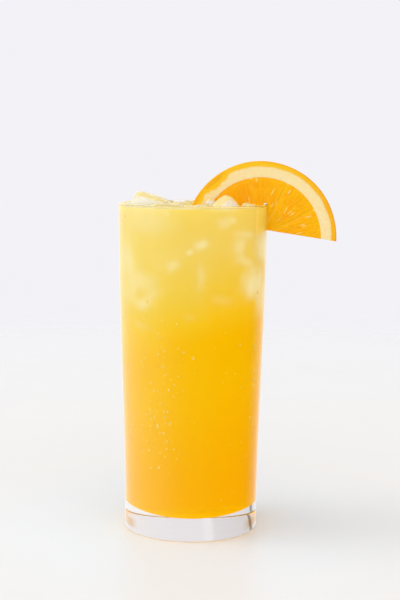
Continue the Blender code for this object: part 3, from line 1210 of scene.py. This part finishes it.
def all_round(aside, ahead, levels, hue):
    """A colour for each direction round the glass, from brightnesses at angles."""
    share = span(math_node("ARCTAN2", aside, ahead), -math.pi, math.pi)
    stops = [(0.5 + degrees / 360, [level * part for part in hue]) for degrees, level in levels]
    return ramp(share, stops)


def seen_room(parts, stage):
    """What shows through clear glass: the wall behind, which greys and then darkens away
    from the middle, a greyer floor and a darker front."""
    around = all_round(parts["X"], parts["Y"], SEEN, SEEN_HUE)
    under = eased(parts["Z"], -0.05, -0.30)
    return tinted(mix(under, stage.backdrop, SEEN_FLOOR), around)


def soft_light(way):
    """Even light with three soft sources, each a direction, a strength and a narrowness."""
    total = (EVEN_LIGHT,) * 3
    for direction, strength, narrowness in SOFT_SOURCES:
        axis = Vector(direction).normalized()
        towards = node("VectorMath", {0: way, 1: axis}, {"operation": "DOT_PRODUCT"})
        facing = math_node("MAXIMUM", towards.outputs["Value"], 0.0)
        share = math_node("POWER", facing, narrowness)
        total = mix(1.0, total, mix(share, (0.0, 0.0, 0.0), (strength,) * 3), "ADD")
    return total


def add_backdrop(stage):
    """An even light all round, a pale wall to look at, and for gloss a room that is
    dark in front, bright at the left and behind, and bright overhead."""
    world = bpy.data.worlds.new("studio")
    world.use_nodes = True
    tree = world.node_tree
    ray = node("LightPath", {}, tree=tree).outputs
    way = source(tree, "TexCoord", "Generated")
    parts = parts_of(way)
    left = times(parts["X"], -1.0)
    front = times(parts["Y"], -1.0)
    around = all_round(left, front, MIRRORED, (MIRRORED_GAIN,) * 3)
    overhead = eased(parts["Z"], 0.45, 0.8)
    room = mix(overhead, around, (OVERHEAD * MIRRORED_GAIN,) * 3)
    transmitted = ray["Is Transmission Ray"]
    mirrored = math_node("SUBTRACT", ray["Is Glossy Ray"], transmitted)
    mirrored = math_node("MAXIMUM", mirrored, 0.0)
    lit = mix(mirrored, soft_light(way), room)
    lean = math_node("MULTIPLY_ADD", left, LEFT_GAIN)
    inside = tinted((INSIDE_LIGHT,) * 3, lean)
    lit = mix(transmitted, lit, inside)
    unscattered = math_node("LESS_THAN", ray["Diffuse Depth"], 0.5)
    through = times(transmitted, unscattered)
    lit = mix(through, lit, seen_room(parts, stage))
    shown = mix(ray["Is Camera Ray"], lit, stage.backdrop)
    fill(tree.nodes["Background"], {"Color": shown})
    bpy.context.scene.world = world


def add_camera(scene):
    camera = bpy.data.objects.new("camera", bpy.data.cameras.new("camera"))
    scene.collection.objects.link(camera)
    camera.data.lens = CAMERA_LENS
    camera.data.sensor_width = SENSOR
    camera.data.clip_start = 0.01
    pitch = Matrix.Rotation(math.pi / 2 - CAMERA_PITCH, 4, "X")
    turn = Matrix.Rotation(CAMERA_ROLL, 4, "Z")
    camera.matrix_world = Matrix.Translation(CAMERA_PLACE) @ pitch @ turn
    scene.camera = camera


class ICEDDRINK_OT_stage(bpy.types.Operator):
    """Sets up the floor, the backdrop, the light and the camera"""

    bl_idname = "iced_drink.stage"
    bl_label = "Stage"

    def execute(self, context):
        stage = settings().stage
        add_floor(stage)
        add_backdrop(stage)
        add_camera(context.scene)
        context.scene.view_settings.view_transform = "Standard"
        return {"FINISHED"}


class ICEDDRINK_PT_panel(bpy.types.Panel):
    """Lists the pieces of the iced drink and what makes them."""

    bl_idname = "ICEDDRINK_PT_panel"
    bl_label = "Iced drink"
    bl_space_type = "VIEW_3D"
    bl_region_type = "UI"
    bl_category = "Iced drink"

    def draw(self, context):
        groups = context.scene.iced_drink
        for name, operator in PIECES:
            box = self.layout.box()
            box.operator(operator)
            group = getattr(groups, name)
            for key in group.bl_rna.properties.keys():
                if key not in ("rna_type", "name"):
                    box.prop(group, key)


PIECES = (
    ("glass", "iced_drink.glass"),
    ("orange", "iced_drink.orange_slice"),
    ("ice", "iced_drink.ice"),
    ("drink", "iced_drink.drink"),
    ("bubbles", "iced_drink.bubbles"),
    ("stage", "iced_drink.stage"),
)

CLASSES = (
    GlassSettings, DrinkSettings, IceSettings, SliceSettings, BubbleSettings, StageSettings,
    DrinkPieceSettings, ICEDDRINK_OT_glass, ICEDDRINK_OT_drink, ICEDDRINK_OT_bubbles,
    ICEDDRINK_OT_ice, ICEDDRINK_OT_orange_slice, ICEDDRINK_OT_stage, ICEDDRINK_PT_panel,
)


def register():
    for cls in CLASSES:
        bpy.utils.register_class(cls)
    bpy.types.Scene.iced_drink = PointerProperty(type=DrinkPieceSettings)


def unregister():
    del bpy.types.Scene.iced_drink
    for cls in reversed(CLASSES):
        bpy.utils.unregister_class(cls)


def main():
    register()
    bpy.ops.iced_drink.glass()
    bpy.ops.iced_drink.orange_slice()
    bpy.ops.iced_drink.ice()
    bpy.ops.iced_drink.drink()
    bpy.ops.iced_drink.bubbles()
    bpy.ops.iced_drink.stage()


if __name__ == "__main__":
    main()
